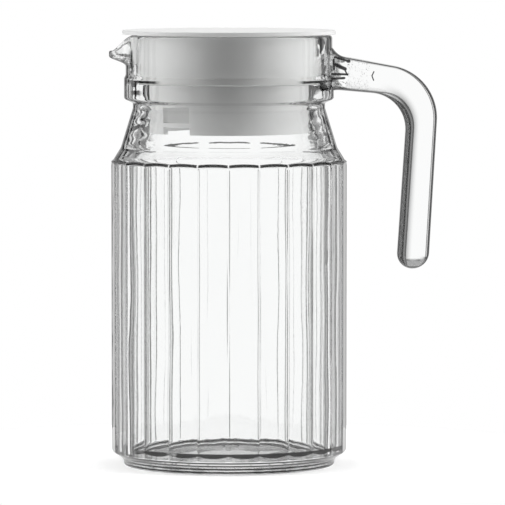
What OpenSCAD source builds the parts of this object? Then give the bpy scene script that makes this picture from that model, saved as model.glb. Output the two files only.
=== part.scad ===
// Half-litre glass pitcher with a white lid that turns in its neck.
// Millimetres, +Z up. The origin is on the jug's axis, in the plane that it stands on.
// The spout points along -X and the handle along +X.

/* [Body] */
// Diameter of the body across the corners of its panels
body_d = 86; // [78:1:100]
// Number of flat panels round the body
panel_count = 24; // [16:1:36]
// Height of the panels' top corners
body_h = 111; // [90:1:130]
// Thickness of the body's wall at a panel corner
wall = 4; // [3:0.1:6]
// Height of the inner floor
floor_h = 3.6; // [3:0.1:12]
// Radius of the inner corner between floor and wall
floor_round = 3; // [2:0.5:9]

/* [Foot] */
// How far the foot stands in from the panel corners
foot_in = 4.2; // [2:0.1:6]
// Height of the foot's upright edge
foot_h = 1.2; // [1.2:0.1:4]
// Radius of the foot's lower edge
foot_round = 0.9; // [0.3:0.1:1.1]
// Height of the slope between the foot and the panels
foot_slope_h = 4; // [2.5:0.1:6]
// Radius that rounds the panels' lower ends into that slope
panel_end_round = 6; // [2:0.5:9]
// Width of the flat ring that the jug stands on
stand_w = 5; // [3:0.5:10]
// Depth of the recess inside that ring
recess_h = 1; // [0.5:0.1:2]

/* [Shoulder and neck] */
// Radius that rounds the panels' upper ends into the shoulder
panel_top_round = 4; // [1:0.5:6]
// How far the shoulder comes in from the panel corners
shoulder_in = 3.4; // [2:0.1:5]
// Height of the shoulder's steep part above the panels
shoulder_h = 5.5; // [3:0.1:9]
// Radius of the hollow curve above the shoulder
shoulder_round = 9; // [3:0.5:12]
// Height of the tapering part between the shoulder and the groove
taper_h = 14.3; // [10:0.1:20]
// Outside diameter of the neck above the collar
neck_d = 75.6; // [70:0.2:77]
// Depth of the groove below the collar
groove_in = 2.6; // [1:0.1:3.2]
// Height of the groove
groove_h = 2.4; // [1.5:0.1:4]
// How far the collar stands out from the neck
collar_out = 0.6; // [0.6:0.1:1.5]
// Height of the collar
collar_h = 9.3; // [6:0.1:12]
// Radius of the collar's edges
collar_round = 0.5; // [0.1:0.1:0.5]
// Height of the neck above the collar
lip_h = 15; // [12:0.1:20]
// Thickness of the neck round the lid
lip_wall = 3.8; // [3:0.1:5]
// Radius of the rim's edges
rim_round = 1.2; // [0.4:0.1:1.4]
// Depth of the lid's seat below the rim
bore_h = 17.6; // [14:0.1:22]
// Width of the ledge that the lid sits on
ledge_w = 2.8; // [2:0.1:4]

/* [Spout] */
// How far the spout's tip stands out from the neck
spout_reach = 6.9; // [5:0.1:10]
// Width of the spout where it leaves the neck
spout_w = 27.6; // [20:0.2:34]
// Radius of the tip, seen from above
spout_tip_round = 2.6; // [2.2:0.1:4]
// Thickness of the spout's side walls
spout_wall = 1.8; // [1.2:0.1:2]
// How far the tip's upper edge lies below the rim
spout_drop = 6.3; // [3:0.1:8]
// Thickness of the lip at the tip
spout_lip_t = 1.8; // [1.2:0.1:3]
// How far the spout's root reaches below the rim
spout_root_h = 13.5; // [12:0.1:14]
// Depth of the channel's floor below the rim, at the bore
channel_h = 10; // [8:0.1:11]

/* [Handle] */
// Thickness of the bar, seen from the side
bar_t = 11.7; // [9:0.1:14]
// Width of the bar, across the jug
bar_w = 14.6; // [14.4:0.1:20]
// Height of the handle's root below the rim, at the bar's middle
handle_drop = 13.5; // [11:0.1:16]
// Height from the root's middle down to the free end
handle_h = 72; // [55:1:90]
// Room for fingers between the body and the free end
finger_gap = 18.5; // [14:0.5:28]
// Bend radius at the bar's middle
bend_r = 14.5; // [12:0.5:20]
// How far the bar swells at the bend, on each side
bend_swell = 0.6; // [0:0.1:1.5]
// Fall of the upper limb, in degrees
upper_fall = 7.5; // [0:0.5:15]
// Lean of the lower limb towards the body, in degrees
lower_lean = 3.5; // [0:0.5:6]
// How far the root swells beyond the bar, all round
root_out = 2; // [0.5:0.1:3]
// How far the swollen root stands out from the neck
root_t = 2.2; // [1.2:0.1:4]

/* [Lid] */
// How far the cover overhangs the neck
cover_out = 1.2; // [0.2:0.1:2.5]
// Thickness of the cover
cover_t = 1.5; // [1.2:0.1:3]
// Radius of the cover's upper edge
cover_round = 0.6; // [0.2:0.1:1]
// Length of the ring that holds the cover in the plug
spigot_h = 3; // [2:0.1:5]
// Thickness of the plug's wall and of the ring
plug_wall = 1.8; // [1.2:0.1:2.4]
// Length of the plug's lower tube, below its step
tube_h = 20.4; // [14:0.1:24]
// Room between the lower tube and the throat
throat_gap = 2.2; // [1:0.1:4]
// Angle of the pour window at the back
window_angle = 80; // [40:2:100]
// Plain height between the pour window and the cover's ring
window_top = 2.4; // [1.5:0.1:4]
// Plain height below the pour window
window_sill = 1; // [0.5:0.1:3]
// Turn from the spout to the middle of the inlet slot in the lower tube
slot_turn = 50; // [20:1:90]
// Angle of the inlet slot
slot_angle = 25; // [14:1:40]
// Height of the inlet slot
slot_h = 10.5; // [7:0.1:12]
// Height of the bar across the inlet slot
slot_bar_h = 1.6; // [1:0.1:2]
// Height of the bar above the tube's end
slot_bar_z = 2.6; // [1.5:0.1:4]

/* [Seal and clearances] */
// Height of the seal ring
seal_h = 1.6; // [1:0.1:3]
// Room between the seal ring and what it sits on
seat_gap = 0.2; // [0.1:0.05:0.4]
// Room between the plug and the neck's bore
plug_gap = 0.4; // [0.3:0.05:0.8]
// Room between the cover and the glass rim
rim_gap = 0.3; // [0.2:0.05:0.6]
// Room between the cover's ring and the plug
spigot_gap = 0.1; // [0.05:0.05:0.2]

/* [Hidden] */
$fn = 96;
ARC_STEPS = 5;
BAR_SIDES = 28;
BAR_FULLNESS = 3.2;
DOME_ANGLE = 84;
GLASS = [0.82, 0.9, 0.91, 0.5];
PLASTIC = [0.95, 0.95, 0.94];
SEAL = [0.86, 0.86, 0.84];
// Extra stock that a later cut takes off, and the thin stock outside the panels
STOCK = 1;
PANEL_STOCK = 0.25;

// Radii of the glass, from the foot up to the rim
body_r = body_d / 2;
inner_r = body_r - wall;
foot_r = body_r - foot_in;
stand_r = foot_r - foot_round - stand_w;
shoulder_r = body_r - shoulder_in;
neck_r = neck_d / 2;
groove_r = neck_r - groove_in;
collar_r = neck_r + collar_out;
bore_r = neck_r - lip_wall;
throat_r = bore_r - ledge_w;
stock_r = body_r + PANEL_STOCK;

// Heights of the glass, from the foot up to the rim
foot_slope_z = foot_h + foot_slope_h * (stock_r - foot_r) / foot_in;
panel_top_z = body_h - shoulder_h * PANEL_STOCK / shoulder_in;
shoulder_z = body_h + shoulder_h;
groove_z = shoulder_z + taper_h;
collar_z = groove_z + groove_h;
lip_z = collar_z + collar_h;
rim_z = lip_z + lip_h;
ledge_z = rim_z - bore_h;

// The spout's root on the neck, and its tip
spout_root_x = sqrt(neck_r * neck_r - spout_w * spout_w / 4);
spout_tip_x = neck_r + spout_reach;
spout_tip_z = rim_z - spout_drop;
// Length of the spout's flat-topped part, outside the neck
spout_flat = collar_out;

// The handle's centre line: root, free end, corner of the two limbs and bend
root_z = rim_z - handle_drop;
end_x = body_r + finger_gap + bar_t / 2;
end_z = root_z - handle_h + bar_t / 2;
fall = tan(upper_fall);
lean = tan(lower_lean);
corner_x = (end_x + lean * (root_z + fall * neck_r - end_z)) / (1 + fall * lean);
corner_z = root_z - fall * (corner_x - neck_r);
bend_turn = 90 - upper_fall + lower_lean;
bend_run = bend_r * tan(bend_turn / 2);
bend_x = corner_x - bend_run * cos(upper_fall) - bend_r * sin(upper_fall);
bend_z = corner_z + bend_run * sin(upper_fall) - bend_r * cos(upper_fall);
// Stock inside the neck, which the neck's outside takes off
root_in = neck_r / 2;

// The lid, from the glass ledge up to the cover
seal_z = ledge_z + seat_gap;
step_z = seal_z + seal_h + seat_gap;
cover_z = rim_z + rim_gap;
cover_r = neck_r + cover_out;
plug_r = bore_r - plug_gap;
tube_r = throat_r - throat_gap;
tube_z = step_z - tube_h;
window_z = step_z + plug_wall + window_sill;
window_top_z = cover_z - window_top - spigot_h;

function unit(v) = v / norm(v);

// Points of an arc of radius r that rounds the corner b between a and c
function fillet(a, b, c, r) =
    let (u = unit(a - b))
    let (v = unit(c - b))
    let (half = acos(u * v) / 2)
    let (centre = b + unit(u + v) * r / sin(half))
    let (start = b + u * r / tan(half) - centre)
    let (turn = (180 - 2 * half) * sign(cross(b - a, c - b)))
    [
        for (i = [0 : ARC_STEPS])
        let (t = turn * i / ARC_STEPS)
        centre + [start.x * cos(t) - start.y * sin(t), start.x * sin(t) + start.y * cos(t)]
    ];

function plane_point(p) = [p[0], p[1]];

// An outline of [x, y, radius] corners, with its corners rounded
function rounded(corners) =
    let (n = len(corners))
    [
        for (i = [0 : n - 1])
        let (here = plane_point(corners[i]))
        let (before = plane_point(corners[(i + n - 1) % n]))
        let (after = plane_point(corners[(i + 1) % n]))
        each corners[i][2] > 0 ? fillet(before, here, after, corners[i][2]) : [here]
    ];

// Outside of the glass as [radius, height, rounding], from the table up to the rim.
// The body keeps stock outside the panels, which the panel prism takes off.
outside = [
    [0, recess_h, 0],
    [stand_r - recess_h, recess_h, 0],
    [stand_r, 0, 0],
    [foot_r, 0, foot_round],
    [foot_r, foot_h, 0],
    [stock_r, foot_slope_z, panel_end_round],
    [stock_r, panel_top_z, panel_top_round],
    [shoulder_r, shoulder_z, shoulder_round],
    [groove_r, groove_z, 0],
    [groove_r, collar_z, 0],
    [collar_r, collar_z, collar_round],
    [collar_r, lip_z, collar_round],
    [neck_r, lip_z, 0],
    [neck_r, rim_z, rim_round]
];

// Inside of the glass, from the rim down to the floor
inside = [
    [bore_r, rim_z, rim_round],
    [bore_r, ledge_z, 0],
    [throat_r, ledge_z, 0],
    [throat_r, groove_z, 0],
    [shoulder_r - wall, shoulder_z, shoulder_round],
    [inner_r, body_h - shoulder_h * wall / shoulder_in / 2, 0],
    [inner_r, floor_h, floor_round],
    [0, floor_h, 0]
];

// A point at a radius and an angle in the XY plane
function polar(r, angle) = [r * cos(angle), r * sin(angle)];

module ring(outer_r, inner_r, z, h) {
    translate([0, 0, z])
    rotate_extrude()
    translate([inner_r, 0])
    square([outer_r - inner_r, h]);
}

// A wedge of the given angle about the axis, centred on a direction, to cut with
module wedge(direction, angle, r, z, h) {
    translate([0, 0, z])
    linear_extrude(h)
    polygon([
        [0, 0],
        for (i = [0 : ARC_STEPS]) polar(r, direction + angle * (i / ARC_STEPS - 0.5))
    ]);
}

module panel_prism() {
    translate([0, 0, -STOCK])
    linear_extrude(rim_z + 2 * STOCK)
    polygon([for (i = [0 : panel_count - 1]) polar(body_r, 360 * i / panel_count)]);
}

// The spout seen from above: straight sides from the neck to a round tip.
// The inset moves all of it inwards, for the channel.
module spout_plan(inset) {
    tip_r = spout_tip_round - inset;
    tip_x = spout_tip_x - spout_tip_round;
    side_y = spout_w / 2 - inset;
    run = tip_x - spout_root_x;
    half_turn = 180 - atan2(side_y, run) - acos(tip_r / norm([run, side_y]));
    polygon([
        [0, side_y],
        [-spout_root_x, side_y],
        for (i = [0 : ARC_STEPS])
        [-tip_x, 0] + polar(tip_r, 180 + half_turn * (2 * i / ARC_STEPS - 1)),
        [-spout_root_x, -side_y],
        [0, -side_y]
    ]);
}

// An outline in the XZ plane, drawn out across the whole spout
module across_spout(outline) {
    translate([0, spout_w, 0])
    rotate([90, 0, 0])
    linear_extrude(2 * spout_w)
    polygon(outline);
}

module spout_block() {
    knee_x = neck_r + spout_flat;
    difference() {
        intersection() {
            linear_extrude(rim_z + STOCK) spout_plan(0);
            across_spout(rounded([
                [0, rim_z - spout_flat, 0],
                [-knee_x, rim_z - spout_flat, 0],
                [-spout_tip_x, spout_tip_z, 0],
                [-spout_tip_x, spout_tip_z - spout_lip_t, 0],
                [-knee_x, rim_z - channel_h - spout_flat / 2, spout_lip_t],
                [-neck_r + STOCK / 2, rim_z - spout_root_h, 0],
                [0, rim_z - spout_root_h, 0]
            ]));
        }
        cylinder(h = rim_z + STOCK, r = bore_r + lip_wall / 2);
    }
}

module spout_channel() {
    intersection() {
        linear_extrude(rim_z + STOCK) spout_plan(spout_wall);
        across_spout([
            [-bore_r + ledge_w, rim_z + STOCK],
            [-spout_tip_x, rim_z + STOCK],
            [-spout_tip_x, spout_tip_z],
            [-bore_r + ledge_w, rim_z - channel_h]
        ]);
    }
}

module jug_body() {
    color(GLASS)
    difference() {
        union() {
            intersection() {
                rotate_extrude() polygon(rounded(concat(outside, inside)));
                panel_prism();
            }
            spout_block();
        }
        spout_channel();
    }
}

// A station of the handle's bar: its middle, the angle of its outer side from +X, and its half sizes
function station(x, z, side, half_t, half_w) = [x, z, side, half_t, half_w];

// The root along the upper limb: it starts inside the neck, and its swell runs out in a hollow curve
function root_station(run, swell) =
    station(
        neck_r + run * cos(upper_fall),
        root_z - run * sin(upper_fall),
        90 - upper_fall,
        bar_t / 2 + swell,
        bar_w / 2 + swell
    );

// The bend, where the bar is thickest half way round
function bend_station(share) =
    let (side = 90 - upper_fall - bend_turn * share)
    let (swell = bend_swell * sin(180 * share))
    station(
        bend_x + bend_r * cos(side),
        bend_z + bend_r * sin(side),
        side,
        bar_t / 2 + swell,
        bar_w / 2
    );

// The free end, closed by a dome
function end_station(angle) =
    let (run = bar_t / 2 * sin(angle))
    let (shrink = bar_t / 2 * (1 - cos(angle)))
    station(
        end_x - run * sin(lower_lean),
        end_z - run * cos(lower_lean),
        -lower_lean,
        bar_t / 2 - shrink,
        bar_w / 2 - shrink
    );

handle_stations = [
    root_station(-root_in, root_out),
    for (i = [0 : ARC_STEPS])
    let (share = 1 - i / ARC_STEPS)
    root_station(root_t * i / ARC_STEPS, root_out * (1 - sqrt(1 - share * share))),
    for (i = [0 : 2 * ARC_STEPS]) bend_station(i / (2 * ARC_STEPS)),
    for (i = [0 : ARC_STEPS]) end_station(DOME_ANGLE * i / ARC_STEPS)
];

// A cosine or sine with its oval filled out towards a rectangle
function filled(v) = sign(v) * pow(abs(v), 2 / BAR_FULLNESS);

// A point of the bar's oval section at a station
function bar_point(at, angle) =
    let (out = at[3] * filled(cos(angle)))
    [at[0] + out * cos(at[2]), at[4] * filled(sin(angle)), at[1] + out * sin(at[2])];

module handle_bar() {
    last = (len(handle_stations) - 1) * BAR_SIDES;
    sides = [for (k = [0 : BAR_SIDES - 1]) k];
    points = [for (at = handle_stations) for (k = sides) bar_point(at, 360 * k / BAR_SIDES)];
    walls = [
        for (base = [0 : BAR_SIDES : last - 1])
        for (k = sides)
        let (here = base + k)
        let (next = base + (k + 1) % BAR_SIDES)
        each [[here, next, next + BAR_SIDES], [here, next + BAR_SIDES, here + BAR_SIDES]]
    ];
    ends = [[for (k = sides) BAR_SIDES - 1 - k], [for (k = sides) last + k]];
    polyhedron(points, concat(walls, ends));
}

module handle() {
    color(GLASS)
    difference() {
        handle_bar();
        rotate_extrude() polygon(rounded(concat(outside, [[0, rim_z, 0]])));
    }
}

module lid_cover() {
    spigot_r = plug_r - plug_wall - spigot_gap;
    color(PLASTIC) {
        translate([0, 0, cover_z])
        rotate_extrude()
        polygon(rounded([
            [0, 0, 0],
            [cover_r, 0, 0],
            [cover_r, cover_t, cover_round],
            [0, cover_t, 0]
        ]));
        ring(spigot_r, spigot_r - plug_wall, cover_z - spigot_h, spigot_h);
    }
}

module pour_plug() {
    outlet = step_z + plug_wall;
    slot_way = 180 + slot_turn;
    bar_top = slot_bar_z + slot_bar_h;
    color(PLASTIC)
    difference() {
        union() {
            ring(plug_r, plug_r - plug_wall, step_z, cover_z - step_z);
            ring(plug_r, tube_r - plug_wall, step_z, plug_wall);
            ring(tube_r, tube_r - plug_wall, tube_z, outlet - tube_z);
        }
        wedge(90, window_angle, 2 * plug_r, window_z, window_top_z - window_z);
        wedge(slot_way, slot_angle, 2 * tube_r, tube_z - STOCK, STOCK + slot_bar_z);
        wedge(slot_way, slot_angle, 2 * tube_r, tube_z + bar_top, slot_h - bar_top);
    }
}

module seal_ring() {
    color(SEAL)
    ring(plug_r, tube_r + seat_gap, seal_z, seal_h);
}

jug_body();
handle();
lid_cover();
pour_plug();
seal_ring();
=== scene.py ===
import math

import bpy
import numpy as np
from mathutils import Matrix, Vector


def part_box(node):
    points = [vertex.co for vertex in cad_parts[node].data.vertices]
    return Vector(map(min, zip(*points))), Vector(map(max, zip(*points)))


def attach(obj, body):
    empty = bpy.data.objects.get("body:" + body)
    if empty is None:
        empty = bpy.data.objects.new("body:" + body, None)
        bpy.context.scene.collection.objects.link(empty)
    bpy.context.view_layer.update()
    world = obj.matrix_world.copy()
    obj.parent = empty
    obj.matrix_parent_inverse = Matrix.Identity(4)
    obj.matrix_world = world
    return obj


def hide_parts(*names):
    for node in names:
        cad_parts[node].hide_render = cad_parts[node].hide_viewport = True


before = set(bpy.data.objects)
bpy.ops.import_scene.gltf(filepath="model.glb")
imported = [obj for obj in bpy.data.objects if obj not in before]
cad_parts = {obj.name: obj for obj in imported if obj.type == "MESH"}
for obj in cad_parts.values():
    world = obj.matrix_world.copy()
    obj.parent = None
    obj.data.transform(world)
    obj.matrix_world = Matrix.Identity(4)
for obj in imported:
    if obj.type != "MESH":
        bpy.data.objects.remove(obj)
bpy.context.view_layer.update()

bl_info = {
    "name": "Glass Pitcher with Lid",
    "version": (1, 0, 0),
    "blender": (4, 5, 0),
    "location": "View3D > Sidebar > Pitcher",
    "description": "Panelled glass jug, hook handle and white plug lid, on a plain studio stage",
    "category": "Object",
}

# Shapes are worked out in millimetres and put into the meshes in metres.
MM = 0.001
JUG_LOW, JUG_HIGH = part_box("jug_body")
HANDLE_LOW, HANDLE_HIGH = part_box("handle")
COVER_LOW, COVER_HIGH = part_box("lid_cover")
PLUG_LOW, PLUG_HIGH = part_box("pour_plug")
SEAL_LOW, SEAL_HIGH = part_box("seal_ring")


# Sizes and colours that a user would change

class PitcherGlass(bpy.types.PropertyGroup):
    """Sizes and finish of the glass jug."""

    panel_count: bpy.props.IntProperty(
        name="Panels", description="Flat vertical panels round the body", default=24, min=8, max=48)
    wall: bpy.props.FloatProperty(
        name="Wall", description="Thickness of the glass at a panel's border", default=0.004, unit="LENGTH")
    border_bead: bpy.props.FloatProperty(
        name="Border bead", description="Height of the soft bead between two panels",
        default=0.00012, unit="LENGTH")
    panel_lip: bpy.props.FloatProperty(
        name="Panel lip", description="Height of the small lip at a panel's upper end",
        default=0.0003, unit="LENGTH")
    crease: bpy.props.FloatProperty(
        name="Crease", description="Depth of the creases at the spout's root", default=0.0004, unit="LENGTH")
    ripple: bpy.props.FloatProperty(
        name="Ripple", description="Depth of the slow waves in the inner wall", default=0.00005, unit="LENGTH")
    spout_width: bpy.props.FloatProperty(
        name="Spout width", description="Width of the spout where it leaves the neck",
        default=0.0276, unit="LENGTH")
    spout_drop: bpy.props.FloatProperty(
        name="Spout drop", description="Height of the rim above the spout's tip", default=0.0056, unit="LENGTH")
    tint: bpy.props.FloatVectorProperty(
        name="Tint", description="Colour that the glass gives to light", subtype="COLOR",
        default=(0.992, 0.997, 0.995), min=0, max=1)
    edge_shade: bpy.props.FloatProperty(
        name="Edge shade", description="How far the glass darkens where it is seen edge on",
        subtype="FACTOR", default=0.998, min=0, max=1)


class PitcherHandle(bpy.types.PropertyGroup):
    """Sizes of the glass handle."""

    bar_width: bpy.props.FloatProperty(
        name="Bar width", description="Width of the bar, across the jug", default=0.0146, unit="LENGTH")
    outer_bend: bpy.props.FloatProperty(
        name="Outer bend", description="Radius of the outer edge at the bend", default=0.01925, unit="LENGTH")
    inner_bend: bpy.props.FloatProperty(
        name="Inner bend", description="Radius of the inner edge at the bend", default=0.0132, unit="LENGTH")
    fold_depth: bpy.props.FloatProperty(
        name="Fold depth", description="Depth of the folds in the glass at the root",
        default=0.00035, unit="LENGTH")


class PitcherLid(bpy.types.PropertyGroup):
    """Sizes and colours of the lid and its seal."""

    plug_wall: bpy.props.FloatProperty(
        name="Plug wall", description="Thickness of the plug's wall", default=0.0018, unit="LENGTH")
    edge_round: bpy.props.FloatProperty(
        name="Edge round", description="Radius of the moulded edges", default=0.00025, unit="LENGTH")
    plastic: bpy.props.FloatVectorProperty(
        name="Plastic", description="Colour of the lid", subtype="COLOR",
        default=(0.86, 0.86, 0.855), min=0, max=1)
    seal: bpy.props.FloatVectorProperty(
        name="Seal", description="Colour of the soft ring", subtype="COLOR",
        default=(0.82, 0.82, 0.81), min=0, max=1)


class PitcherStage(bpy.types.PropertyGroup):
    """Camera, floor and studio light."""

    distance: bpy.props.FloatProperty(
        name="Distance", description="Camera to the point that it looks at", default=1.8, unit="LENGTH")
    pitch: bpy.props.FloatProperty(
        name="Pitch", description="How far the camera looks down", default=math.radians(3.9), subtype="ANGLE")
    target: bpy.props.FloatVectorProperty(
        name="Target", description="Point at the middle of the picture", subtype="XYZ",
        default=(0.0086, 0, 0.0778))
    lens: bpy.props.FloatProperty(
        name="Lens", description="Focal length in millimetres, on a 36 mm sensor", default=350)
    floor_radius: bpy.props.FloatProperty(
        name="Floor radius", description="Radius of the round floor", default=0.145, unit="LENGTH")
    floor_colour: bpy.props.FloatVectorProperty(
        name="Floor", description="Colour of the floor", subtype="COLOR",
        default=(0.66, 0.66, 0.66), min=0, max=1)


# Curves and surfaces

def unit(v):
    return v / np.linalg.norm(v)


def ease(t):
    """Smooth step: 3 t^2 - 2 t^3, with t held between 0 and 1."""
    t = np.clip(t, 0, 1)
    return t * t * (3 - 2 * t)


def soft_min(a, b, width):
    """The lower of a and b with the crease rounded: (a + b - sqrt((a - b)^2 + width^2)) / 2."""
    return (a + b - np.sqrt((a - b) ** 2 + width ** 2)) / 2


def power_wave(v, power):
    """A cosine or sine filled out towards a square wave: sign(v) |v|^(2 / power)."""
    return np.sign(v) * np.abs(v) ** (2 / power)


def corner_arc(before, here, after, radius, steps):
    """Points of the arc of a radius that touches both sides of a corner.

    The centre lies on the corner's bisector, radius / sin(half angle) away, and the arc turns by
    180 degrees less the corner's angle."""
    u, v = unit(before - here), unit(after - here)
    half = math.acos(float(np.clip(u @ v, -1, 1))) / 2
    centre = here + unit(u + v) * radius / math.sin(half)
    start = here + u * radius / math.tan(half) - centre
    a, b = here - before, after - here
    turn = (math.pi - 2 * half) * np.sign(a[0] * b[1] - a[1] * b[0])
    t = np.linspace(0, turn, steps + 1)
    return centre + np.stack(
        [start[0] * np.cos(t) - start[1] * np.sin(t), start[0] * np.sin(t) + start[1] * np.cos(t)], -1)


def profile_line(corners, step, arc_steps=6, fine=()):
    """A line through (x, y, radius) corners: each corner is rounded by its radius, and straight runs
    get points that are at most a step apart. Each (low, high, step) in fine gives a zone of y its own step."""
    points = np.array([c[:2] for c in corners], float)
    runs = [points[:1]]
    for k in range(1, len(points) - 1):
        radius = corners[k][2]
        runs.append(corner_arc(points[k - 1], points[k], points[k + 1], radius, arc_steps)
                    if radius > 0 else points[k:k + 1])
    line = np.concatenate(runs + [points[-1:]])
    delta = np.diff(line, axis=0)
    middle = line[:-1, 1] + delta[:, 1] / 2
    steps = np.full(len(delta), float(step))
    for low, high, small in fine:
        steps[(middle > low) & (middle < high)] = small
    count = np.maximum(1, np.ceil(np.linalg.norm(delta, axis=1) / steps)).astype(int)
    share = np.concatenate([np.arange(n) / n for n in count])[:, None]
    return np.concatenate([np.repeat(line[:-1], count, 0) + np.repeat(delta, count, 0) * share, line[-1:]])


def ring_faces(rows, columns):
    """Quads of a grid whose last column meets its first."""
    i = np.arange(rows - 1)[:, None] * columns
    j = np.arange(columns)
    k = (j + 1) % columns
    return np.stack([i + j, i + k, i + columns + k, i + columns + j], -1).reshape(-1, 4)


def pole_faces(pole, first, columns, flip):
    """Triangles between a pole and the row of points that starts at first."""
    j = first + np.arange(columns)
    k = first + (np.arange(columns) + 1) % columns
    pair = [k, j] if flip else [j, k]
    return np.stack([np.full(columns, pole)] + pair, -1)


def closed_surface(grid, start, end):
    """Vertices and faces of a ring grid that is closed by a pole before its first row and after its last."""
    rows, columns = grid.shape[:2]
    points = np.concatenate([grid.reshape(-1, 3), [start, end]])
    count = rows * columns
    quads = ring_faces(rows, columns)
    fans = np.concatenate([
        pole_faces(count, 0, columns, True),
        pole_faces(count + 1, count - columns, columns, False),
    ])
    return points, quads, fans


def turned(line, angles):
    """A profile of (radius, height) points turned about the Z axis: (r cos a, r sin a, z)."""
    r, z = line[:, 0][:, None], line[:, 1][:, None]
    return np.stack([r * np.cos(angles), r * np.sin(angles), z + 0 * angles], -1)


def add_piece(name, points, quads, fans, material, body, nodes, slot, shade=None):
    """A mesh object in metres that rides on a body, stands for CAD nodes and takes a finish."""
    mesh = bpy.data.meshes.new(name)
    mesh.from_pydata((points * MM).tolist(), [], quads.tolist() + fans.tolist())
    mesh.polygons.foreach_set("use_smooth", np.ones(len(mesh.polygons), bool))
    mesh.update()
    if shade is not None:
        mesh.attributes.new("shade", "FLOAT", "POINT").data.foreach_set("value", shade)
    piece = bpy.data.objects.new(name, mesh)
    bpy.context.scene.collection.objects.link(piece)
    mesh.materials.append(material)
    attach(piece, body)
    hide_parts(*nodes)
    return piece


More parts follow.
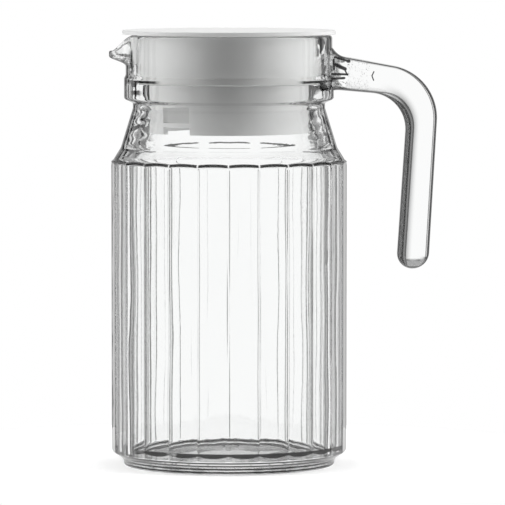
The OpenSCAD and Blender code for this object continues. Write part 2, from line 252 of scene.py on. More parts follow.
def jug_surface(glass):
    """The glass jug as one closed surface over a profile and an angle.

    Outside, the turned profile is cut by the panels: r = soft_min(profile, a / cos(angle from the
    panel's middle)). Each border gets a bead and each upper end a lip, h exp(-(s / w)^2). Above the
    collar both walls go out into the spout: r = neck + (plan - neck) S(height), and the rim falls with
    the plan's reach."""
    body_r = JUG_HIGH.y / MM
    rim_z = JUG_HIGH.z / MM
    tip_short = 0.8
    tip_r = -JUG_LOW.x / MM - tip_short
    wall = glass.wall / MM
    neck_r, bore_r, throat_r, collar_r, groove_r = 37.8, 34.0, 31.2, 38.4, 35.2
    lip_z, ledge_z, floor_z, crease_z = 142.5, 139.9, 3.6, 143

    # Columns stand close at the borders, where the bead is, and closer in the spout's panels.
    pitch = 2 * math.pi / glass.panel_count
    near = np.array([0.0119, 0.0388, 0.0773, 0.145, 0.3])
    plain = np.concatenate([[-0.5], -near[::-1], [0], near])
    q = np.linspace(-1, 1, 22, endpoint=False)
    close = 0.5 * np.sign(q) * np.abs(q) ** 1.7
    panels = [close if abs(k * pitch - math.pi) < 0.6 else plain for k in range(glass.panel_count)]
    across = np.concatenate(panels)
    angles = np.concatenate([k + panel for k, panel in enumerate(panels)]) * pitch

    stock = body_r + 0.25
    top_z = 110.6
    outside = profile_line([
        (3, 1.0, 0), (31.9, 1.0, 0.5), (32.9, 0, 0.5), (38.8, 0, 0.9), (38.8, 1.6, 0.6), (39.7, 2.9, 0.8),
        (stock, 5.3, 1.2), (stock, top_z - 2.6, 0), (stock, top_z, 0.6), (41.0, 114.24, 0), (39.6, 116.5, 2),
        (groove_r, 130.8, 0.9), (groove_r, 132.7, 0.9), (collar_r, 134.2, 1.2), (collar_r, lip_z - 0.7, 1.2),
        (neck_r, lip_z + 0.5, 1.2), (neck_r, lip_z + 1.2, 0)], 6, arc_steps=4,
        fine=((1.02, 6.5, 0.4), (top_z - 2.6, 114.24, 0.25)))
    r, z = outside[:, 0][:, None], outside[:, 1][:, None]
    apothem = body_r * math.cos(pitch / 2)
    plane = soft_min(apothem / np.cos((across - 0.5) * pitch), apothem / np.cos((across + 0.5) * pitch), 0.08)
    along = ease((z - 4) / 3) * ease((top_z + 1 - z) / 2)
    bead = glass.border_bead / MM * np.exp(-(across * pitch * body_r / 0.45) ** 2) * along
    end = top_z + (stock - plane) + 0.5
    lip = glass.panel_lip / MM * np.exp(-((z - end) / 0.4) ** 2)
    outer = np.where(z < 114, soft_min(r + 0 * angles, plane + bead, 0.1) + lip, r + 0 * angles)
    rows = [(outer, z + 0 * angles, 0 * outer)]

    # The spout, seen from above, is a beak with straight sides and a round tip.
    off = np.abs(angles % (2 * math.pi) - math.pi)
    half = math.asin(glass.spout_width / MM / 2 / neck_r)
    reach = np.clip(1 - (np.sqrt((off / half) ** 2 + 0.012) - 0.11), 0, None) ** 1.15
    reach = np.where(off < half * 1.15, reach, 0)
    plan = neck_r + (tip_r - neck_r) * reach
    top = rim_z - glass.spout_drop / MM * ease(reach * 1.1 - 0.03)
    thick = 3.8 - 0.9 * ease(reach * 1.2)
    crown = 1.2 - 0.45 * ease(reach * 1.4)
    inner_plan = plan - thick

    base = lip_z + 1.2
    t = np.linspace(0.02, 1, 18)[:, None]
    out_z = base + t * (top - crown - base)
    out_r = neck_r + (plan - neck_r) * ease((out_z - rim_z + 11.3) / 3.6)
    crease = ease((out_z - crease_z) / 2) * ease((153.5 - out_z) / 2)
    crease = crease * np.exp(-((off - half) * neck_r / 1.2) ** 2)
    # Shade is painted dark along the outer crease, seen from outside.
    rows.append((out_r - glass.crease / MM * crease, out_z, crease * 1.1))

    a = np.linspace(0, math.pi, 10)[1:-1, None]
    rows.append(((plan + inner_plan) / 2 + (plan - inner_plan) / 2 * power_wave(np.cos(a), 2.6),
                 top - crown + crown * power_wave(np.sin(a), 2.6), 0 * a + 0 * angles))

    t = np.linspace(1, 0, 20)[:, None]
    in_z = ledge_z + 0.6 + t * (top - crown - ledge_z - 0.6)
    ramp = np.clip((in_z - (rim_z - 10)) / 2.7, 0, 1)
    in_r = bore_r + (inner_plan - bore_r) * (0.6 * ramp + 0.4 * ease(ramp))
    crease = ease((in_z - crease_z) / 2) * ease((151 - in_z) / 2)
    crease = crease * np.exp(-((off - half * 0.77) * bore_r / 0.7) ** 2)
    # Shade is painted dark along the inner crease, seen from within the glass.
    rows.append((in_r + glass.crease / MM * crease, in_z, -crease))

    inside = profile_line([
        (bore_r, ledge_z + 0.5, 0), (bore_r, ledge_z, 0.12), (throat_r, ledge_z, 0.15), (throat_r, 130.8, 3),
        (39.6 - wall, 116.5, 9), (body_r - wall, 111.5, 4), (body_r - wall, floor_z, 0.5), (3, floor_z, 0)], 5,
        arc_steps=6, fine=((117, 139, 0.8),))
    r, z = inside[:, 0][:, None], inside[:, 1][:, None]
    wave = np.sin(5 * angles + z / 11) + 0.7 * np.sin(9 * angles - z / 7 + 1) + 0.5 * np.sin(16 * angles + z / 19)
    calm = ease((z - floor_z - 4) / 12) * ease((112 - z) / 10)
    lumps = np.sin(2 * math.pi * z / 3.3 + 2 * np.sin(7 * angles)) + 0.6 * np.sin(z * 1.3 - 11 * angles)
    aside = ease((np.abs(np.cos(angles)) - 0.72) / 0.15) * ease((z - 117) / 3) * ease((137 - z) / 3)
    rows.append((r + glass.ripple / MM * (wave * calm + 1.2 * lumps * aside), z + 0 * angles, 0 * lumps))

    radius, height, shade = [np.concatenate([row[k] for row in rows]) for k in range(3)]
    grid = np.stack([radius * np.cos(angles), radius * np.sin(angles), height], -1)
    return *closed_surface(grid, (0, 0, 1.0), (0, 0, floor_z)), np.append(shade.ravel(), [0, 0])


def rounded_section(inner_power, outer_power, aspect, columns):
    """A unit square with round corners: f (cos a, sin a), where f = (|cos a|^p + |sin a|^p)^(-1 / p).

    The power p is one for the inner half and another for the outer half. Columns are spaced evenly in the
    sum of the share of the length and the share of the turning, at the section's true aspect."""
    a = np.linspace(0, 2 * math.pi, 4001)
    p = np.where(np.cos(a) < 0, inner_power, outer_power)
    fill = (np.abs(np.cos(a)) ** p + np.abs(np.sin(a)) ** p) ** (-1 / p)
    c, d = np.cos(a) * fill, np.sin(a) * fill
    dc, dd = np.diff(c), np.diff(d) * aspect
    heading = np.unwrap(np.arctan2(dd, dc))
    turning = np.abs(np.diff(heading, append=heading[-1]))
    length = np.hypot(dc, dd)
    travel = np.concatenate([[0], np.cumsum(length / length.sum() + turning / turning.sum())])
    at = np.linspace(0, travel[-1], columns, endpoint=False)
    return np.interp(at, travel, c), np.interp(at, travel, d)


def handle_surface(handle):
    """The glass handle: a flat bar's section carried between two rails.

    Each rail is two straight lines joined by its own arc. A section point is
    middle + half (outer - inner) c, and width d across the jug, for each (c, d) of the rounded section. The
    root flares by h (1 - s / l)^3 and starts on the neck, and the free end closes in a dome."""
    half_w = handle.bar_width / MM / 2
    dome_r = 5.9
    seat_x = 37.4
    end_z = HANDLE_LOW.z / MM + dome_r
    reach = HANDLE_HIGH.x / MM
    arc = 40

    def rail(root_x, root_z, corner, foot_x, radius):
        root, corner, foot = np.array([root_x, root_z]), np.array(corner), np.array([foot_x, end_z])
        bend = corner_arc(root, corner, foot, radius, arc)
        first = root + (bend[0] - root) * (np.linspace(0, 1, 30)[:-1, None] ** 1.5)
        last = bend[-1] + (foot - bend[-1]) * np.linspace(0, 1, 40)[1:, None]
        return np.concatenate([first, bend, last])

    outer = rail(seat_x, 150.5, (reach + 0.65, 143.25), reach - 3.05, handle.outer_bend / MM)
    inner = rail(seat_x, 137.6, (65.27, 135.2), reach - 14.75, handle.inner_bend / MM)
    s = np.maximum(outer[:, 0] - 37.8, 0)
    root = np.where(np.arange(len(s)) < 30, np.clip(1 - s / 5.6, 0, 1) ** 3, 0)
    outer = outer + np.stack([0 * root, 2.5 * root], -1)
    inner = inner - np.stack([0 * root, 0.5 * root], -1)
    middle, span = (outer + inner) / 2, (outer - inner) / 2
    width = half_w + 1.6 * root

    # The dome: the section shrinks as cos(b) while it goes on by dome_r sin(b) along the lower limb.
    b = np.linspace(0, math.radians(86), 12)[1:]
    onward = unit(middle[-1] - middle[-4])
    shrink = 1 - dome_r * (1 - np.cos(b)) / np.linalg.norm(span[-1])
    middle = np.concatenate([middle, middle[-1] + onward * (dome_r * np.sin(b))[:, None]])
    span = np.concatenate([span, span[-1] * shrink[:, None]])
    width = np.concatenate([width, half_w - dome_r * (1 - np.cos(b))])

    c, d = rounded_section(3.4, 6.0, half_w / np.linalg.norm(span[0]), 176)
    x = middle[:, :1] + span[:, :1] * c
    z = middle[:, 1:] + span[:, 1:] * c
    y = width[:, None] * d

    # Folds run along the limb and die out away from the neck.
    fade = ease((x - 37.9) / 1.6) * ease((45 - x) / 5) * (x < 58)
    fold = 1 - 2.4 * np.abs(np.sin(math.pi * (z - 143) / 3.2 + 0.25 * (x - 38)))
    y = y + np.sign(d) * handle.fold_depth / MM * fold * fade * np.abs(d)

    # Shade painted into the glass: the flat sides darken towards the inner edge, along both edges and in the
    # dome.
    on = ease((np.arange(len(z)) - 28) / 24)[:, None]
    painted_edge_shade = 0.955 * (1 - ease((c + 0.62) / 0.55)) * on
    painted_edge_shade = np.maximum(painted_edge_shade, ease((np.abs(c) - 0.83) / 0.06) * (0.6 + 0.4 * on))
    painted_edge_shade = painted_edge_shade * ease((np.abs(d) - np.where(c < 0, 0.45, 0.72)) / 0.15)
    cup = end_z - 1.0 - 1.6 * (1 - c * c)
    dome = np.maximum(np.exp(-((z - cup) / 0.5) ** 2), 0.8 * ease((cup - z) / 0.3))
    shade = np.maximum(painted_edge_shade, dome)

    # The root's end lies on the neck's round wall, a little inside it.
    seat = np.sqrt(np.maximum(37.55 ** 2 - y ** 2, 0))
    near = ease(1 - (x - seat_x) / 5)
    x = np.where(x < 43, x + near * (seat - seat_x), x)
    grid = np.stack([x, y, z], -1)
    start = (37.2, 0, float(z[0].mean()))
    tip = middle[-1] + onward * 0.02
    surface = closed_surface(grid[:, ::-1], start, (tip[0], 0, tip[1]))
    return *surface, np.append(shade[:, ::-1].ravel(), [0, 0.5])


def cover_surface(lid):
    """The lid's disc with the ring below it: a rounded profile turned about the axis."""
    low, high = COVER_LOW.z / MM, COVER_HIGH.z / MM
    edge = COVER_HIGH.x / MM
    disc_z = high - 1.5
    ring_out = PLUG_HIGH.x / MM - lid.plug_wall / MM - 0.1
    ring_in = ring_out - lid.plug_wall / MM
    soft = lid.edge_round / MM
    line = profile_line([
        (2, disc_z, 0), (ring_in, disc_z, soft), (ring_in, low, soft), (ring_out, low, soft),
        (ring_out, disc_z, soft), (edge, disc_z, soft), (edge, high, 0.35), (35.5, high + 0.05, 3),
        (2, high + 0.1, 0)], 2.5)
    grid = turned(line, np.linspace(0, 2 * math.pi, 240, endpoint=False))
    return closed_surface(grid, (0, 0, disc_z), (0, 0, high + 0.1))


def plug_surface(lid):
    """The plug's outer skin over an angle and a height, one degree to a column.

    Its radius steps from the lower tube to the upper ring; quads inside the pour window and the inlet
    slot are left out, and a Solidify modifier gives the skin its wall."""
    plug_r = PLUG_HIGH.x / MM
    tube_r = 29.0
    tube_z, step_z, top_z = PLUG_LOW.z / MM, 141.9, PLUG_HIGH.z / MM
    tube = np.unique(np.concatenate([np.linspace(tube_z, step_z, 12), tube_z + np.array([2.6, 4.2, 10.5])]))
    ring = np.unique(np.concatenate([np.linspace(step_z, top_z, 10), step_z + np.array([2.8, 10.5])]))
    step = np.linspace(tube_r, plug_r, 4)[1:-1]
    r = np.concatenate([np.full(len(tube), tube_r), step, np.full(len(ring), plug_r)])
    z = np.concatenate([tube, np.full(len(step), step_z), ring])
    angles = np.radians(np.arange(360))
    grid = turned(np.stack([r, z], -1), angles)
    quads = ring_faces(*grid.shape[:2])
    mid_z = ((z[:-1] + z[1:]) / 2)[:, None]
    mid_a = np.degrees(angles) + 0.5
    window = (np.abs(mid_a - 90) < 40) & (mid_z > step_z + 2.8) & (mid_z < step_z + 10.5)
    slot = (np.abs(mid_a - 230) < 12.5) & (mid_z < tube_z + 10.5)
    bar = (mid_z > tube_z + 2.6) & (mid_z < tube_z + 4.2)
    kept = ~(window | (slot & ~bar)).ravel()
    return grid.reshape(-1, 3), quads[kept], np.zeros((0, 3), int)


def seal_surface():
    """The soft ring: a rectangle with round corners turned about the axis, as a closed tube."""
    low, high = SEAL_LOW.z / MM - 0.15, SEAL_HIGH.z / MM + 0.15
    outer, inner = SEAL_HIGH.x / MM, 29.2
    line = profile_line([
        (31, low, 0), (outer, low, 0.2), (outer, high, 0.2), (inner, high, 0.2), (inner, low, 0.2),
        (30.9, low, 0)], 1.0)
    grid = turned(line, np.linspace(0, 2 * math.pi, 240, endpoint=False))
    rows, columns = grid.shape[:2]
    last = ring_faces(2, columns)
    last = np.where(last < columns, last + (rows - 1) * columns, last - columns)
    return grid.reshape(-1, 3), np.concatenate([ring_faces(rows, columns), last]), np.zeros((0, 3), int)


# Finishes

class Wire:
    """One output socket of a node tree. Arithmetic on it adds Math nodes."""

    def __init__(self, tree, socket=None):
        self.tree = tree
        self.socket = socket

    def node(self, kind, settings=None, sockets=None, out=0):
        """A node of a kind: its settings first, then the values or links of its sockets."""
        made = self.tree.nodes.new(kind)
        for name, value in (settings or {}).items():
            if name == "stops":
                stops = made.color_ramp.elements
                for element, (place, level) in zip(list(stops), (value[0], value[-1])):
                    element.position, element.color = place, (level, level, level, 1)
                for place, level in value[1:-1]:
                    stops.new(place).color = (level, level, level, 1)
            else:
                setattr(made, name, value)
        for name, value in (sockets or {}).items():
            if isinstance(value, Wire):
                self.tree.links.new(value.socket, made.inputs[name])
            else:
                made.inputs[name].default_value = value
        return Wire(self.tree, made.outputs[out] if made.outputs else None)

    def math(self, operation, *values):
        return self.node("ShaderNodeMath", {"operation": operation}, dict(enumerate(values)))

    def __add__(self, other):
        return self.math("ADD", self, other)

    __radd__ = __add__

    def __mul__(self, other):
        return self.math("MULTIPLY", self, other)

    __rmul__ = __mul__

    def __sub__(self, other):
        return self.math("SUBTRACT", self, other)

    def __rsub__(self, other):
        return self.math("SUBTRACT", other, self)

    def __truediv__(self, other):
        return self.math("DIVIDE", self, other)

    def __lt__(self, other):
        return self.math("LESS_THAN", self, other)

    def apart(self, other):
        """The distance from a number: |self - other|."""
        gap = self - other
        return gap.math("ABSOLUTE", gap)

    def either(self, other):
        """The larger of two masks."""
        return self.math("MAXIMUM", self, other)

    def between(self, low, high):
        """0 below low, 1 above high and a smooth step between; high may be the lower one."""
        return self.node("ShaderNodeMapRange", {"interpolation_type": "SMOOTHSTEP"},
                         {"Value": self, "From Min": low, "From Max": high})


def new_finish(name):
    """A material with an empty tree, and the wire that starts its nodes."""
    material = bpy.data.materials.new(name)
    material.use_nodes = True
    material.node_tree.nodes.clear()
    return material, Wire(material.node_tree)


def places(wire):
    """Object coordinates, and their three parts in metres."""
    here = wire.node("ShaderNodeTexCoord", out="Object")
    parts = [wire.node("ShaderNodeSeparateXYZ", sockets={"Vector": here}, out=k) for k in range(3)]
    return here, parts


def noise(wire, here, scale, detail=2.0, rough=0.5):
    return wire.node("ShaderNodeTexNoise", sockets={
        "Vector": here, "Scale": scale, "Detail": detail, "Roughness": rough}, out=0)


def blend(wire, factor, low, high):
    """A colour between two colours."""
    return wire.node("ShaderNodeMix", {"data_type": "RGBA"}, {0: factor, 6: low, 7: high}, out=2)


def shades(colour, lower, upper):
    """Two RGBA colours round a colour."""
    return [tuple(min(1, c * k) for c in colour) + (1,) for k in (lower, upper)]


def jug_painted_shade(wire, glass, facing, here, x, y, z):
    """Shade painted dark into the jug's glass colour where refraction darkens it: lines at its creases and rings,
    a band at the foot, blots in the neck. The first mask shows from outside, the second from within; blots show
    only edge on."""
    turn = x.math("ARCTAN2", y, x) * (glass.panel_count / (2 * math.pi))
    side = turn.math("FRACT", turn).apart(0.5) * 2
    arch = side * side
    flat = x * x + y * y
    radius = flat.math("SQRT", flat)
    wall = radius.between(0.0408, 0.0412)
    # Painted shade: a dark scalloped band at the panels' lower ends, broken by noise.
    painted_band = (z - arch * 0.0009).between(0.0061, 0.0064) * z.between(0.0082, 0.0079) * wall
    painted_band = painted_band * noise(wire, here, 70, 1).between(0.32, 0.42)
    # Painted shade: dark rings on the foot's chamfer.
    wave = (z - 0.0009) * (2 * math.pi / 0.00122)
    rings = wave.math("COSINE", wave).between(-0.15, 0.1) * z.between(0.0051, 0.0048)
    rings = rings * radius.between(0.0382, 0.0385)
    # Painted shade: a dark line at each panel's upper end.
    line = (z + arch * 0.00037).apart(0.11175).between(0.0006, 0.0004)
    line = line * (1 - side.between(0.93, 0.98) * 0.8) * wall
    steps = turn * math.pi
    # Painted shade along the shoulder's crease, seen from within the glass.
    bend = z.apart(0.1165).between(0.00032, 0.0002) * radius.between(0.0375, 0.038)
    bend = bend * (steps.math("COSINE", steps) * 0.5 + 0.5).between(0.06, 0.16)
    # Painted shade: dark blots in the neck and a patch under the handle's root, shown only edge on.
    squat = wire.node("ShaderNodeMapping", sockets={"Vector": here, "Scale": (1, 1, 2.2)})
    neck = z.between(0.114, 0.118) * z.between(0.1312, 0.1302)
    neck = neck + z.between(0.1355, 0.1365) * z.between(0.1415, 0.1405)
    painted_blots = noise(wire, squat, 140, 1).between(0.52, 0.56) * neck
    patch = noise(wire, here, 300, 1).between(0.36, 0.44)
    patch = patch * z.between(0.1495, 0.1505) * x.between(0.030, 0.032)
    aslant = painted_blots.either(patch) * facing.between(0.4, 0.5)
    # Painted shade: a dark line at the neck's ledge, shown edge on.
    ledge = z.apart(0.141).between(0.0006, 0.0004) * facing.between(0.22, 0.3)
    ledge = ledge * radius.between(0.0375, 0.0378)
    return painted_band.either(rings).either(line).either(aslant).either(ledge), bend


# Dark strokes of painted shade along the folds pressed into the handle's root, and along the mould's mark before
# the
# bend: the two ends of each on the handle's side, as (x, z, x, z), and half its width, in millimetres.
FOLD_SHADE_STROKES = (
    (38.6, 149.6, 43.5, 148.1, 0.50), (43.4, 148.1, 43.7, 148.1, 0.75), (38.0, 148.6, 38.3, 145.3, 0.45),
    (38.8, 146.9, 42.3, 145.3, 0.85), (37.5, 143.5, 43.2, 143.3, 0.50), (37.5, 141.7, 42.0, 142.0, 0.55),
    (42.3, 144.8, 43.2, 143.1, 0.35), (52.8, 144.3, 52.1, 142.8, 0.28), (52.1, 142.8, 52.7, 141.2, 0.28),
    (39.0, 138.2, 51.5, 137.0, 0.32))


def handle_painted_shade(wire, glass, facing, here, x, y, z):
    """Shade painted dark into the handle's glass along each fold, seen from outside, where refraction darkens it.
    """
    along, up = x * 1000, z * 1000
    dark = x * 0
    for x0, z0, x1, z1, width in FOLD_SHADE_STROKES:
        dx, dz = x1 - x0, z1 - z0
        t = ((along - x0) * dx + (up - z0) * dz) / (dx * dx + dz * dz)
        t = t.math("MINIMUM", t.either(0), 1)
        px, pz = along - x0 - t * dx, up - z0 - t * dz
        dark = dark.either((px * px + pz * pz).between(width ** 2, (0.6 * width) ** 2))
    return dark, x * 0


def glass_finish(name, glass, stipple, edge, painted_shade):
    """Pressed glass: clear, with slow waves and fine pits in its skin, and a stippled patch; shade is painted
    dark into its colour edge on and along its creases.
    """
    material, wire = new_finish(name)
    here, (x, y, z) = places(wire)
    waves = noise(wire, here, 70, 2)
    pits = noise(wire, here, 900, 3)
    low, high = shades(glass.tint, 0.985, 1.0)
    dark, _ = shades(glass.tint, 1 - glass.edge_shade, 1.0)
    facing = wire.node("ShaderNodeLayerWeight", sockets={"Blend": 0.5}, out="Facing")
    shade = wire.node("ShaderNodeAttribute", {"attribute_name": "shade"}, out="Fac")
    within = wire.node("ShaderNodeNewGeometry", out="Backfacing")
    front, back = painted_shade(wire, glass, facing, here, x, y, z)
    # Painted shade: the colour goes dark where the glass is seen edge on, and where the painted lines and the
    # shade attribute lie.
    painted_dark = facing.between(*edge).either((shade + front - back) * (1 - 2 * within))
    patch, grid = stipple(wire, here, x, y, z)
    dots = wire.node("ShaderNodeTexVoronoi", {"feature": "F1"}, {"Vector": grid, "Scale": 1500}, out="Distance")
    height = waves * 0.10 + pits * 0.004 + (1 - dots) * patch * 0.35
    normal = wire.node("ShaderNodeBump", sockets={"Strength": 1.0, "Distance": 0.0006, "Height": height})
    shader = wire.node("ShaderNodeBsdfPrincipled", sockets={
        "Base Color": blend(wire, painted_dark, blend(wire, waves, low, high), dark),
        "Roughness": pits * 0.012 + patch * 0.05,
        "Transmission Weight": 1.0, "IOR": 1.5, "Normal": normal})
    wire.node("ShaderNodeOutputMaterial", sockets={"Surface": shader})
    return material


def foot_stipple(wire, here, x, y, z):
    """1 in patches of a ring on the floor, and the place of its dots, which are long towards the middle."""
    flat = x * x + y * y
    radius = flat.math("SQRT", flat)
    ring = radius.between(0.013, 0.016) * radius.between(0.031, 0.029) * z.between(0.0044, 0.0040)
    grid = wire.node("ShaderNodeCombineXYZ", sockets={0: x.math("ARCTAN2", y, x) * 0.025, 1: radius * 0.16})
    return ring * noise(wire, here, 45, 1).between(0.40, 0.50), grid


def root_stipple(wire, here, x, y, z):
    """1 on the handle's sides, between the folds and the bend, and the place of its dots."""
    return x.between(0.0425, 0.0445) * x.between(0.0525, 0.0505) * z.between(0.1385, 0.1395) * 0.6, here


def plastic_finish(lid):
    """Moulded white plastic: faint cloudiness, satin gloss and a fine grain."""
    material, wire = new_finish("lid_white_plastic")
    here, _ = places(wire)
    cloud = noise(wire, here, 60, 3)
    grain = noise(wire, here, 2600, 2)
    low, high = shades(lid.plastic, 0.965, 1.03)
    normal = wire.node("ShaderNodeBump", sockets={
        "Strength": 0.25, "Distance": 0.0001, "Height": grain * 0.5 + cloud * 0.5})
    shader = wire.node("ShaderNodeBsdfPrincipled", sockets={
        "Base Color": blend(wire, cloud, low, high), "Roughness": cloud * 0.12 + grain * 0.05 + 0.30,
        "IOR": 1.49, "Normal": normal})
    wire.node("ShaderNodeOutputMaterial", sockets={"Surface": shader})
    return material


def seal_finish(lid):
    """Soft translucent rubber: matt, with a powdery grain."""
    material, wire = new_finish("seal_soft_rubber")
    here, _ = places(wire)
    cloud = noise(wire, here, 140, 3)
    grain = noise(wire, here, 3200, 2)
    low, high = shades(lid.seal, 0.93, 1.05)
    normal = wire.node("ShaderNodeBump", sockets={"Strength": 0.3, "Distance": 0.0001, "Height": grain})
    shader = wire.node("ShaderNodeBsdfPrincipled", sockets={
        "Base Color": blend(wire, cloud, low, high), "Roughness": cloud * 0.15 + 0.5,
        "IOR": 1.43, "Normal": normal})
    wire.node("ShaderNodeOutputMaterial", sockets={"Surface": shader})
    return material


def rays(wire):
    """Masks of rays that come before any diffuse bounce: straight from the camera, through glass, and in a
    mirror image. A ray that lights a surface has 0 in all three."""
    camera, through, mirror, depth = [wire.node("ShaderNodeLightPath", out=name) for name in (
        "Is Camera Ray", "Is Transmission Ray", "Is Glossy Ray", "Diffuse Depth")]
    first = depth < 0.5
    return camera, through * first, mirror * first


def floor_finish(stage):
    """A pale floor that keeps shadows: plain diffuse, lifted to white where the backdrop is seen. Glass
    shows the backdrop in its place."""
    material, wire = new_finish("floor_pale")
    here, _ = places(wire)
    camera, through, mirror = rays(wire)
    low, high = shades(stage.floor_colour, 0.99, 1.0)
    plain = wire.node("ShaderNodeBsdfDiffuse", sockets={"Color": blend(wire, noise(wire, here, 8), low, high)})
    glow = wire.node("ShaderNodeEmission", sockets={"Color": camera.either(mirror) * 0.54})
    both = wire.node("ShaderNodeAddShader", sockets={0: plain, 1: glow})
    clear = wire.node("ShaderNodeBsdfTransparent")
    shader = wire.node("ShaderNodeMixShader", sockets={0: through, 1: both, 2: clear})
    wire.node("ShaderNodeOutputMaterial", sockets={"Surface": shader})
    return material


# Dark flags round the set, as stops of place and darkness. A flag's place is 1 along the nearest of eight clear
# directions and 0 midway between two, 22.5 degrees away. SIDES takes the place of FLAGS to the left and right.
# A band's place is the sine of its depth below the horizon.
FLAGS = ((0.0, 1), (0.05, 1), (0.07, 0), (0.12, 0), (0.14, 1), (0.28, 1), (0.30, 0), (0.41, 0), (0.43, 0.85),
         (0.58, 0.85), (0.60, 0))
SIDES = ((0.0, 1), (0.22, 1), (0.24, 0), (0.43, 0), (0.45, 1), (0.64, 1), (0.66, 0))
BANDS = ((0.54, 0), (0.55, 0.35), (0.64, 0.35), (0.65, 0), (0.74, 0), (0.75, 0.5), (0.84, 0.5), (0.85, 0))


def studio_world():
    """A white backdrop with narrow dark flags round it, which only glass shows, and two tall banks of soft
    light, one on each side of the set."""
    world = bpy.data.worlds.new("studio")
    world.use_nodes = True
    world.node_tree.nodes.clear()
    wire = Wire(world.node_tree)
    way = wire.node("ShaderNodeTexCoord", out="Generated")
    x, y, z = [wire.node("ShaderNodeSeparateXYZ", sockets={"Vector": way}, out=k) for k in range(3)]
    camera, through, mirror = rays(wire)
    turn = x.math("ARCTAN2", y, x) / (math.pi / 4)
    clear = turn.math("FRACT", turn).apart(0.5) * 2
    flags = wire.node("ShaderNodeValToRGB", {"stops": FLAGS}, {"Fac": clear})
    bands = wire.node("ShaderNodeValToRGB", {"stops": BANDS}, {"Fac": 0 - z})
    left, right = x.between(-0.28, -0.4), x.between(0.14, 0.34)
    sides = wire.node("ShaderNodeValToRGB", {"stops": SIDES}, {"Fac": clear}) * (left + right * 0.85)
    lines = (flags * (1 - left) * (1 - right)).either(sides).either(bands).either(z.between(0.17, 0.26) * 0.2)
    near = mirror * y.between(0.1, -0.1)
    shade = (lines * (1 - camera) * (1 - near)).either(near * (1 - through) * 0.6)
    backdrop = 1 - shade * 0.97
    seen = camera.either(through).either(mirror)
    flat = x * x + y * y
    front = y / flat.math("SQRT", flat + 0.0001)
    banks = front.between(-0.64, -0.36) * (2.35 - front.between(0.06, 0.22) * 2.07 + x * 0.2)
    light = 0.09 + banks * (0.96 + z * z * 0.92)
    level = backdrop * seen + light * (1 - seen)
    shader = wire.node("ShaderNodeBackground", sockets={"Color": level})
    wire.node("ShaderNodeOutputWorld", sockets={"Surface": shader})
    return world


# Operators: one for each piece and one for the stage

class PITCHER_OT_jug(bpy.types.Operator):
    """Make the panelled glass jug with its spout"""

    bl_idname = "pitcher.jug"
    bl_label = "Glass Jug"

    def execute(self, context):
        glass = context.scene.pitcher_glass
        finish = glass_finish("jug_pressed_glass", glass, foot_stipple, (0.45, 0.86), jug_painted_shade)
        *surface, shade = jug_surface(glass)
        add_piece("glass_jug", *surface, finish, "jug", ["jug_body"], "glass", shade)
        return {"FINISHED"}


class PITCHER_OT_handle(bpy.types.Operator):
    """Make the glass handle"""

    bl_idname = "pitcher.handle"
    bl_label = "Glass Handle"

    def execute(self, context):
        glass = context.scene.pitcher_glass
        finish = glass_finish("handle_pressed_glass", glass, root_stipple, (0.22, 0.55), handle_painted_shade)
        *surface, shade = handle_surface(context.scene.pitcher_handle)
        add_piece("glass_handle", *surface, finish, "jug", ["handle"], "glass", shade)
        return {"FINISHED"}


class PITCHER_OT_lid(bpy.types.Operator):
    """Make the lid's cover and its pour plug"""

    bl_idname = "pitcher.lid"
    bl_label = "Lid"

    def execute(self, context):
        lid = context.scene.pitcher_lid
        finish = plastic_finish(lid)
        add_piece("cover_disc", *cover_surface(lid), finish, "lid", ["lid_cover"], "lid_plastic")
        plug = add_piece("plug_tube", *plug_surface(lid), finish, "lid", ["pour_plug"], "lid_plastic")
        skin = plug.modifiers.new("wall", "SOLIDIFY")
        skin.thickness = lid.plug_wall
        skin.offset = -1
        skin.use_even_offset = True
        soft = plug.modifiers.new("soft_edges", "BEVEL")
        soft.width = lid.edge_round
        soft.segments = 2
        soft.limit_method = "ANGLE"
        soft.angle_limit = math.radians(40)
        soft.harden_normals = True
        return {"FINISHED"}


class PITCHER_OT_seal(bpy.types.Operator):
    """Make the soft ring under the plug's step"""

    bl_idname = "pitcher.seal"
    bl_label = "Seal Ring"

    def execute(self, context):
        lid = context.scene.pitcher_lid
        add_piece("seal_soft_ring", *seal_surface(), seal_finish(lid), "seal", ["seal_ring"], "seal")
        return {"FINISHED"}


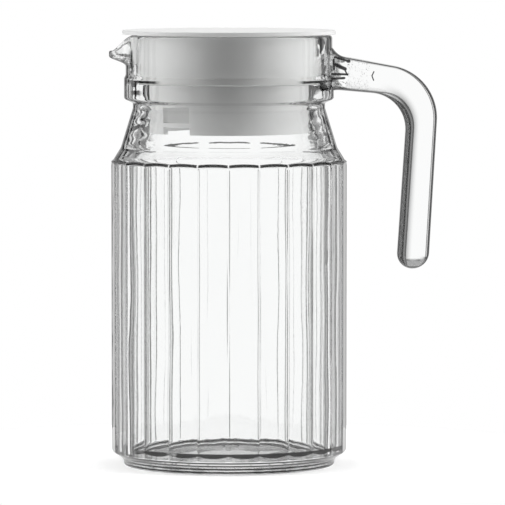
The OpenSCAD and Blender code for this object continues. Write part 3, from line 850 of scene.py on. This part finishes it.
class PITCHER_OT_stage(bpy.types.Operator):
    """Make the floor, the studio light and the camera"""

    bl_idname = "pitcher.stage"
    bl_label = "Stage"

    def execute(self, context):
        scene = context.scene
        stage = scene.pitcher_stage
        angles = np.linspace(0, 2 * math.pi, 96, endpoint=False)
        rings = np.linspace(0.02, 1, 24) * stage.floor_radius
        grid = turned(np.stack([rings, 0 * rings], -1), angles)
        quads = ring_faces(*grid.shape[:2])
        points = np.concatenate([grid.reshape(-1, 3), [(0, 0, 0)]])
        fans = pole_faces(len(points) - 1, 0, len(angles), False)
        mesh = bpy.data.meshes.new("floor")
        mesh.from_pydata(points.tolist(), [], quads[:, ::-1].tolist() + fans.tolist())
        mesh.materials.append(floor_finish(stage))
        floor = bpy.data.objects.new("floor", mesh)
        scene.collection.objects.link(floor)
        scene.world = studio_world()

        camera = bpy.data.cameras.new("camera")
        camera.sensor_width = 36
        camera.lens = stage.lens
        camera.clip_end = 20
        holder = bpy.data.objects.new("camera", camera)
        holder.location = (
            stage.target[0],
            stage.target[1] - stage.distance * math.cos(stage.pitch),
            stage.target[2] + stage.distance * math.sin(stage.pitch))
        holder.rotation_euler = (math.pi / 2 - stage.pitch, 0, 0)
        scene.collection.objects.link(holder)
        scene.camera = holder
        scene.view_settings.view_transform = "Standard"
        scene.cycles.blur_glossy = 0
        scene.cycles.max_bounces = 32
        scene.cycles.transmission_bounces = 32
        scene.cycles.glossy_bounces = 16
        return {"FINISHED"}


class PITCHER_PT_sidebar(bpy.types.Panel):
    """The pitcher's pieces and their settings"""

    bl_idname = "PITCHER_PT_sidebar"
    bl_label = "Pitcher"
    bl_space_type = "VIEW_3D"
    bl_region_type = "UI"
    bl_category = "Pitcher"

    def draw(self, context):
        for operator in OPERATORS:
            self.layout.operator(operator.bl_idname)
        for name in SETTINGS:
            group = getattr(context.scene, name)
            box = self.layout.box()
            for key in group.bl_rna.properties.keys():
                if key not in ("rna_type", "name"):
                    box.prop(group, key)


SETTINGS = {
    "pitcher_glass": PitcherGlass,
    "pitcher_handle": PitcherHandle,
    "pitcher_lid": PitcherLid,
    "pitcher_stage": PitcherStage,
}
OPERATORS = (PITCHER_OT_jug, PITCHER_OT_handle, PITCHER_OT_lid, PITCHER_OT_seal, PITCHER_OT_stage)
CLASSES = (*SETTINGS.values(), *OPERATORS, PITCHER_PT_sidebar)


def register():
    for cls in CLASSES:
        bpy.utils.register_class(cls)
    for name, cls in SETTINGS.items():
        setattr(bpy.types.Scene, name, bpy.props.PointerProperty(type=cls))


def unregister():
    for name in SETTINGS:
        delattr(bpy.types.Scene, name)
    for cls in reversed(CLASSES):
        bpy.utils.unregister_class(cls)


def main():
    register()
    bpy.ops.pitcher.jug()
    bpy.ops.pitcher.handle()
    bpy.ops.pitcher.lid()
    bpy.ops.pitcher.seal()
    bpy.ops.pitcher.stage()


if __name__ == "__main__":
    main()
